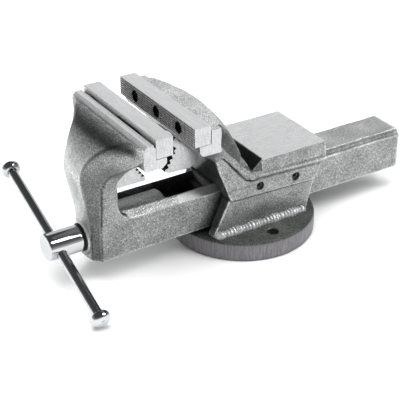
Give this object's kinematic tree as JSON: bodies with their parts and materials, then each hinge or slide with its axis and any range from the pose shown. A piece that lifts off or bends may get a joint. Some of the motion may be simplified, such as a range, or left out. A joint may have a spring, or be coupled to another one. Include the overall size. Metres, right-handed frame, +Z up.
{
  "type": "bench vise",
  "caption": "Cast bench vise on a fixed round base, with knurled jaw plates, serrated pipe jaws, a flat anvil, a hollow slide and a chromed spindle turned by a sliding bar.",
  "frame": {"origin": "centre of the underside of the round base", "axes": "+Z up, +Y along the slide from the handle to the rear, +X across the jaws"},
  "size_m": [0.1783, 0.371, 0.1473],
  "materials": {
    "hammered_paint": "silver-grey hammered paint with a fine grain over cast iron, machined bright on the jaw tops, jaw ends and anvil",
    "chrome": "polished chrome plate",
    "jaw_steel": "ground hardened steel, cross-knurled on the working face",
    "black_steel": "black oxide",
    "steel": "plain turned or milled steel",
    "pipe_jaw_steel": "forged steel with cut serrations",
    "nut_iron": "grey iron, oily",
    "weld": "rough bright bead"
  },
  "bodies": {
    "vise_body": {"base_plate": "hammered_paint", "fixed_jaw_body": "hammered_paint", "base_weld_bead_right": "weld", "base_weld_bead_left": "weld", "fixed_jaw_plate": "jaw_steel", "fixed_plate_screw_left": "black_steel", "fixed_plate_screw_middle": "black_steel", "fixed_plate_screw_right": "black_steel", "fixed_pipe_jaw": "pipe_jaw_steel", "spindle_nut": "nut_iron", "nut_bolt_front": "black_steel", "nut_bolt_rear": "black_steel", "gib_strip_right": "steel", "gib_strip_left": "steel", "gib_screw_right_front": "black_steel", "gib_screw_right_rear": "black_steel", "gib_screw_left_front": "black_steel", "gib_screw_left_rear": "black_steel"},
    "slide": {"moving_jaw": "hammered_paint", "moving_jaw_plate": "jaw_steel", "moving_plate_screw_left": "black_steel", "moving_plate_screw_middle": "black_steel", "moving_plate_screw_right": "black_steel", "moving_pipe_jaw": "pipe_jaw_steel"},
    "spindle": {"spindle": "chrome", "thrust_washer": "black_steel", "spindle_collar": "steel", "collar_pin": "black_steel"},
    "tommy_bar": {"tommy_bar": "chrome", "bar_knob_upper": "chrome", "bar_knob_lower": "chrome"}
  },
  "joints": [
    {"name": "jaw_slide", "type": "slide", "parent": "vise_body", "child": "slide", "axis": [0, -1, 0], "range_m": [-0.019, 0.105]},
    {"name": "spindle_turn", "type": "hinge", "parent": "slide", "child": "spindle", "pos_m": [0, -0.18, 0.0385], "axis": [0, -1, 0], "range_deg": [-1712, 9452]},
    {"name": "bar_slide", "type": "slide", "parent": "spindle", "child": "tommy_bar", "axis": [0.9367, 0, -0.3502], "range_m": [-0.0672, 0.0771]}
  ],
  "couplings": [
    {"joint": "spindle_turn", "follows": "jaw_slide", "rad_per_m": 1570.8}
  ]
}
